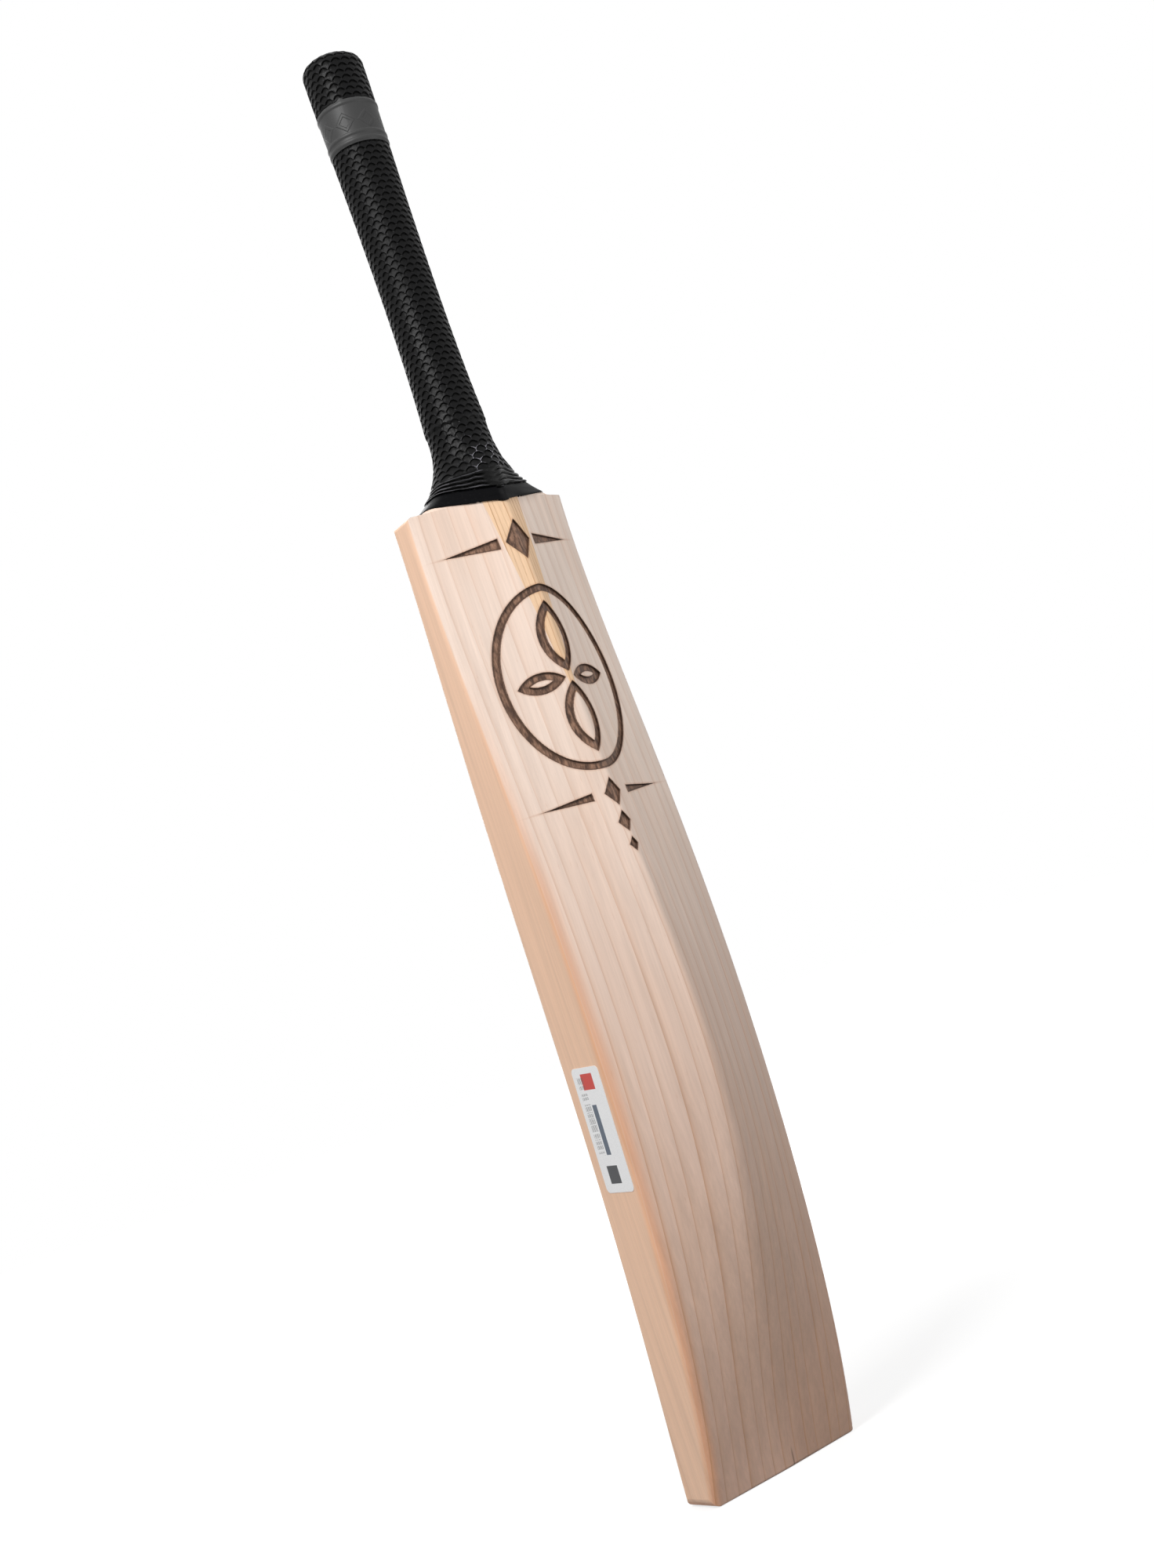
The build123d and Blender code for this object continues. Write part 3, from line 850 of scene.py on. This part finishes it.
def wrap_piece(name, node, rows, columns, low_line, high_line, relief, under=()):
    """Sleeve pulled on to a frame node between two lines, and clear of the nodes in under.

    The lines give a height for a distance from the middle. The relief gives, for an angle and
    a share of the height, how far in the sleeve lies, and the mark that its material reads.
    """
    clear_selection()
    bpy.ops.mesh.primitive_cylinder_add(vertices=columns, radius=0.03, depth=1,
                                        end_fill_type="NOTHING", location=(0, AXIS_Y, 0.5))
    piece = start_piece(name)
    bpy.ops.object.transform_apply(location=True)
    upright = {edge.key for edge in piece.data.edges
               if abs(piece.data.vertices[edge.vertices[0]].co.z
                      - piece.data.vertices[edge.vertices[1]].co.z) > 0.5}
    select_where(piece, "edges", lambda edge: edge.key in upright)
    bpy.ops.object.mode_set(mode="EDIT")
    bpy.ops.mesh.subdivide(number_cuts=rows - 1)
    bpy.ops.object.mode_set(mode="OBJECT")
    trees = search_trees(node)
    under_trees = search_trees(*under)
    crest = piece.data.attributes.new("crest", "FLOAT", "POINT")
    for vertex in piece.data.vertices:
        share = vertex.co.z
        angle = angle_of(vertex)
        radius = FIRST_RADIUS
        for _ in range(6):    # the lines depend on the radius that is sought
            across = abs(radius * math.cos(angle))
            low, high = low_line(across), high_line(across)
            height = low + (high - low) * share
            safe = min(max(height, low + RIM_MARGIN), high - RIM_MARGIN)
            radius = reach_of(trees, angle, safe)
        depth, mark = relief(angle, share)
        crest.data[vertex.index].value = mark
        radius -= depth
        if under_trees:
            radius = max(radius, reach_of(under_trees, angle, height) + WOOD_CLEARANCE)
        vertex.co = on_axis(angle, radius, height)
    return piece


def waver(angle, waves, layer):
    """Smooth noise round the handle; each layer has its own."""
    return noise.noise(around(angle) * waves + Vector((0, 0, layer)))


def rim_rise(share, start):
    """Rises from 0 to 1 towards both edges of a strip, from a start between 0 and 1."""
    return (max(0.0, abs(2 * share - 1) - start) / (1 - start)) ** 2


def tape_line(sizes, drop=0.0):
    """Line so far below the tape's upper edge, as a function for wrap_piece."""
    def line(across):
        return SHOULDER - TAPE_DIP + sizes.tape_width - drop + sizes.tape_slope * across
    return line


def finish_nodes(materials):
    """Gives each of the frame's nodes the material listed for the first word of its name."""
    for name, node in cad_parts.items():
        kind = name.split("_")[0]
        if kind in materials:
            give_finish(node, materials[kind])


# ---- operators

class BAT_OT_wood(bpy.types.Operator):
    """Puts their finishes on the willow blade and on the handle's cane strips and springs"""
    bl_idname = "bat.wood"
    bl_label = "Finish the Wood"

    def execute(self, context):
        finishes = context.scene.bat_finishes
        grain = wood_grain_group()
        char = char_group(engraving_group(context.scene.bat_engraving))
        finish_nodes({"blade": willow_material(finishes, grain, char),
                      "cane": cane_material(finishes, grain, char),
                      "spring": spring_material(finishes)})
        return {"FINISHED"}


class BAT_OT_twine(bpy.types.Operator):
    """Puts the finish of wound thread on the twine"""
    bl_idname = "bat.twine"
    bl_label = "Finish the Twine"

    def execute(self, context):
        finish_nodes({"binding": twine_material(context.scene.bat_finishes)})
        return {"FINISHED"}


class BAT_OT_label(bpy.types.Operator):
    """Puts the finish of printed paper on the edge label"""
    bl_idname = "bat.label"
    bl_label = "Finish the Label"

    def execute(self, context):
        finish_nodes({"edge": label_material(context.scene.bat_finishes)})
        return {"FINISHED"}


class BAT_OT_grip(bpy.types.Operator):
    """Models the scaled rubber grip: one tile of scales, repeated and wrapped round the handle"""
    bl_idname = "bat.grip"
    bl_label = "Model the Grip"

    across = 8                # faces over the width of one scale
    # Share of a scale's height below its arc, and how far the rubber stands out there
    profile = ((0.0, 1.0), (0.09, 0.2), (0.24, 0.4), (0.46, 0.72), (0.72, 0.88), (0.92, 0.95))

    def tile(self, sizes):
        """One scale wide and two rows high: its rows of faces follow the arcs.

        Until it is wrapped, a vertex's height holds how far the rubber stands out there.
        """
        rows = len(self.profile)
        bpy.ops.mesh.primitive_grid_add(x_subdivisions=self.across, y_subdivisions=2 * rows,
                                        size=1, calc_uvs=False)
        piece = start_piece("grip_scales")
        pitch = sizes.row_pitch

        def arc(row, share):
            along = (share + 0.5 * (row % 2)) % 1 * 2 - 1
            return row * pitch + sizes.arc_rise * (1 - along * along), along

        for vertex in piece.data.vertices:
            share = vertex.co.x + 0.5
            line = round((vertex.co.y + 0.5) * 2 * rows)
            row, step = divmod(line, rows)
            fall, stand = self.profile[(rows - step) % rows]
            low, _ = arc(row, share)
            if step == 0:
                vertex.co = (share, low, 1)
                continue
            high, along = arc(row + 1, share)
            if abs(along) > 0.99:
                stand = 1    # the ridge between two scales of a row
            else:
                stand *= 1 - 0.25 * along * along
            vertex.co = (share, high - (high - low) * fall, stand)
        return piece

    def repeat(self, piece, sizes, path):
        """Repeats the tile round the handle and along the path, and trims both ends."""
        count = math.ceil(path / (2 * sizes.row_pitch)) + 1
        for number, step in ((sizes.scales_around, (1, 0, 0)),
                             (count, (0, 2 * sizes.row_pitch, 0))):
            array = piece.modifiers.new("repeat", "ARRAY")
            array.count = number
            array.use_relative_offset = False
            array.use_constant_offset = True
            array.constant_offset_displace = step
            array.use_merge_vertices = True
            array.merge_threshold = 0.01 * MM
            bpy.ops.object.modifier_apply(modifier=array.name)
        for height, upward in ((sizes.arc_rise, 1), (sizes.arc_rise + path, -1)):
            edit_all(bpy.ops.mesh.bisect, plane_co=(0, height, 0), plane_no=(0, upward, 0),
                     clear_inner=True, threshold=0.01 * MM)

    def execute(self, context):
        clear_selection()
        sizes = context.scene.bat_grip
        # The path of the rubber: up the side, round the end and inwards to the mouth
        start = HEM_TOP - OVERLAP
        turn_height = grip_high.z - sizes.end_round
        side = turn_height - start
        rounding = sizes.end_round * math.pi / 2
        path = side + rounding + END_RADIUS - sizes.end_round - sizes.mouth_radius
        piece = self.tile(sizes)
        self.repeat(piece, sizes, path)
        trees = search_trees("grip", "grip_hem")
        crest = piece.data.attributes.new("crest", "FLOAT", "POINT")
        turn_radius = {}
        for vertex in piece.data.vertices:
            angle = 2 * math.pi * vertex.co.x / sizes.scales_around
            way = vertex.co.y - sizes.arc_rise
            stand = vertex.co.z
            fade = min(1.0, max(0.0, (path - way) / (0.8 * rounding)))
            depth = sizes.scale_depth * fade * (1 - stand)
            # The material paints a faint highlight on the higher parts, and rubs the tops pale in
            # a patch
            crest.data[vertex.index].value = stand
            if way <= side:
                tuck = OVERLAP * max(0.0, 1 - way / (2 * OVERLAP))
                radius = reach_of(trees, angle, min(start + way, turn_height)) - depth - tuck
                vertex.co = on_axis(angle, radius, start + way)
                continue
            key = round(vertex.co.x * self.across)
            if key not in turn_radius:
                turn_radius[key] = reach_of(trees, angle, turn_height)
            bend = min((way - side) / sizes.end_round, math.pi / 2)
            inward = max(0.0, way - side - rounding)
            arm = sizes.end_round - depth
            radius = turn_radius[key] - sizes.end_round + arm * math.cos(bend) - inward
            vertex.co = on_axis(angle, radius, turn_height + arm * math.sin(bend))
        edit_all(bpy.ops.mesh.remove_doubles, threshold=0.02 * MM)
        for vertex in close_sleeve(piece, GRIP_LIP, lip_height=HANDLE_END, cuts=20):
            angle = angle_of(vertex)
            radius = reach_of(trees, angle, min(vertex.co.z, turn_height)) - GRIP_DEPTH
            vertex.co = on_axis(angle, radius, vertex.co.z)
        finish_piece(piece, "grip", grip_material, smooth_angle=50)
        return {"FINISHED"}


class BAT_OT_hem(bpy.types.Operator):
    """Models the bunched hem of the grip, with folds that run round the neck"""
    bl_idname = "bat.hem"
    bl_label = "Model the Hem"

    def execute(self, context):
        sizes = context.scene.bat_grip

        def relief(angle, share):
            drift = 0.7 * waver(angle, 1.3, 3.1)
            wave = 0.2 * waver(angle, 5, 2.2 * share + 7.7)
            phase = sizes.folds * share + drift + wave
            fold = abs(math.sin(math.pi * phase))
            # Each fold has a strength of its own, and all die out at the spine's ridge
            own = 0.8 + 0.35 * waver(angle, 2.6, 5.3 * math.floor(phase))
            ridge = math.exp(-((angle - RIDGE_ANGLE) / RIDGE_SPREAD) ** 2)
            rim = max(0.0, 1 - share / HEM_RIM)
            top = fold ** 0.6 * own
            depth = sizes.fold_depth * ((1 - top) * (1 - ridge) + 0.55 * ridge)
            depth *= min(1.0, 0.4 + share / 0.4)    # shallower near the tape
            # The mark is full on the rubbed lower rim and high on the fold tops, where the
            # material paints highlights
            mark = max(rim, 0.6 * fold ** 8 * own) * (1 - ridge)
            return max(0.0, depth) * (1 - rim) + HEM_RIM_DEPTH * rim, mark

        wood = [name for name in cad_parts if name.startswith(("blade", "cane_"))]
        piece = wrap_piece("grip_fold", "grip_hem", 48, 200, tape_line(sizes, OVERLAP),
                           lambda across: HEM_TOP, relief, wood)
        close_sleeve(piece, HEM_WALL)
        finish_piece(piece, "grip_hem", hem_material)
        return {"FINISHED"}


class BAT_OT_tape(bpy.types.Operator):
    """Models the tape that holds the hem down on the shoulder"""
    bl_idname = "bat.tape"
    bl_label = "Model the Tape"

    def execute(self, context):
        sizes = context.scene.bat_grip

        def relief(angle, share):
            depth = 0.15 + 0.12 * waver(angle, 3.0, share * 2.0) + 0.35 * rim_rise(share, 0.86)
            return depth * MM, 0.0

        piece = wrap_piece("shoulder_tape", "neck_tape", 14, 180,
                           tape_line(sizes, sizes.tape_width), tape_line(sizes), relief)
        close_sleeve(piece, TAPE_WALL)
        finish_piece(piece, "neck_tape", tape_material)
        return {"FINISHED"}


class BAT_OT_band(bpy.types.Operator):
    """Turns the grey band with its raised rims, and adds the moulding nib on its edge"""
    bl_idname = "bat.band"
    bl_label = "Model the Band"

    def execute(self, context):
        def relief(angle, share):
            seam = math.exp(-((angle - SEAM_ANGLE) / SEAM_SPREAD) ** 2)
            return (0.05 * (1 - seam) + 0.3 * rim_rise(share, 0.95)) * MM, seam

        piece = wrap_piece("band_ring", "grip_band", 60, 180, lambda across: band_low.z,
                           lambda across: band_high.z, relief)
        for vertex in piece.data.vertices:
            near = max(0.0, 1 - abs(angle_of(vertex) - SEAM_ANGLE) / NIB_HALF_ANGLE)
            high = max(0.0, 1 - (band_high.z - vertex.co.z) / NIB_ROOT)
            vertex.co.z += NIB_HEIGHT * near * high
        edit_all(bpy.ops.mesh.vertices_smooth, factor=0.4, repeat=1)
        close_sleeve(piece, BAND_WALL)
        finish_piece(piece, "grip_band", band_material)
        return {"FINISHED"}


class BAT_OT_stage(bpy.types.Operator):
    """Lays the pale floor, hangs the soft lamps and sets the camera"""
    bl_idname = "bat.stage"
    bl_label = "Set the Stage"

    def execute(self, context):
        clear_selection()
        settings = context.scene.bat_stage
        self.floor()
        self.surroundings(context.scene, settings)
        for name, power, size, place in LAMPS:
            self.lamp(name, getattr(settings, power), size, Vector(place))
        self.camera(context.scene, settings)
        context.scene.view_settings.view_transform = "Standard"
        return {"FINISHED"}

    def background_share(self, bench):
        """1 for rays that show the background: straight, mirrored or through glass."""
        rays = bench.signals("ShaderNodeLightPath")
        return rays["Is Camera Ray"] + rays["Is Glossy Ray"] + rays["Is Transmission Ray"]

    def floor(self):
        bpy.ops.mesh.primitive_plane_add(size=FLOOR_SIZE, location=(0, AXIS_Y, 0))
        floor = start_piece("floor")
        bench = new_material("floor")
        paint = bench.signal("ShaderNodeBsdfDiffuse", {"Color": linear(FLOOR_PAINT)})
        distance = bench.signal("ShaderNodeVectorMath", {0: bench.place()}, output="Value",
                                operation="LENGTH")
        strength = self.background_share(bench) * distance.span(*GLOW_REACH, GLOW_NEAR, 1.0)
        glow = bench.signal("ShaderNodeEmission", {"Color": (1, 1, 1), "Strength": strength})
        both = bench.signal("ShaderNodeAddShader", {0: paint, 1: glow})
        bench.add("ShaderNodeOutputMaterial", {"Surface": both})
        give_finish(floor, bench.owner)

    def surroundings(self, scene, settings):
        scene.world = bpy.data.worlds.new("white_room")
        bench = empty_bench(scene.world)
        shown = self.background_share(bench).at_most(1.0)
        strength = shown.span(0.0, 1.0, settings.sky, 1.0, "LINEAR")
        light = bench.signal("ShaderNodeBackground", {"Color": (1, 1, 1), "Strength": strength})
        bench.add("ShaderNodeOutputWorld", {"Surface": light})

    def hang(self, data):
        """Object in the scene for the data of a lamp or camera."""
        item = bpy.data.objects.new(data.name, data)
        bpy.context.scene.collection.objects.link(item)
        return item

    def lamp(self, name, power, size, place):
        data = bpy.data.lights.new(name, "AREA")
        data.energy = power
        data.size = size
        lamp = self.hang(data)
        lamp.location = place
        aim = Vector((0, AXIS_Y, AIM_HEIGHT)) - place
        lamp.rotation_euler = aim.to_track_quat("-Z", "Y").to_euler()

    def camera(self, scene, settings):
        data = bpy.data.cameras.new("camera")
        data.lens = settings.lens
        data.sensor_width = 36
        data.clip_start = 0.01
        camera = self.hang(data)
        ahead = Vector(CAMERA_AHEAD).normalized()
        level = ahead.cross(Vector((0, 0, 1))).normalized()
        upright = level.cross(ahead)
        tilt = math.radians(CAMERA_TILT)
        right = level * math.cos(tilt) + upright * math.sin(tilt)
        up = upright * math.cos(tilt) - level * math.sin(tilt)
        turn = Matrix((right, up, -ahead)).transposed()
        camera.matrix_world = Matrix.Translation(CAMERA_PLACE) @ turn.to_4x4()
        scene.camera = camera


class BAT_PT_panel(bpy.types.Panel):
    """Lists the steps that dress the bat"""
    bl_label = "Cricket Bat"
    bl_idname = "BAT_PT_panel"
    bl_space_type = "VIEW_3D"
    bl_region_type = "UI"
    bl_category = "Cricket Bat"

    def draw(self, context):
        column = self.layout.column()
        for step in STEPS:
            column.operator(step.bl_idname)
        for name, group in SETTINGS.items():
            box = self.layout.box()
            box.label(text=name.replace("_", " ").title())
            for prop in group.__annotations__:
                box.prop(getattr(context.scene, name), prop)


STEPS = (BAT_OT_wood, BAT_OT_twine, BAT_OT_label, BAT_OT_grip, BAT_OT_hem, BAT_OT_tape,
         BAT_OT_band, BAT_OT_stage)
SETTINGS = {"bat_grip": BatGripSizes, "bat_engraving": BatEngravingSizes,
            "bat_finishes": BatFinishes, "bat_stage": BatStageSettings}


def register():
    for kind in (*SETTINGS.values(), *STEPS, BAT_PT_panel):
        bpy.utils.register_class(kind)
    for name, group in SETTINGS.items():
        setattr(bpy.types.Scene, name, PointerProperty(type=group))


def unregister():
    for name in SETTINGS:
        delattr(bpy.types.Scene, name)
    for kind in (BAT_PT_panel, *reversed(STEPS), *reversed(SETTINGS.values())):
        bpy.utils.unregister_class(kind)


def main():
    register()
    rubber_skin_group()
    for step in STEPS:
        group, name = step.bl_idname.split(".")
        getattr(getattr(bpy.ops, group), name)()


if __name__ == "__main__":
    main()
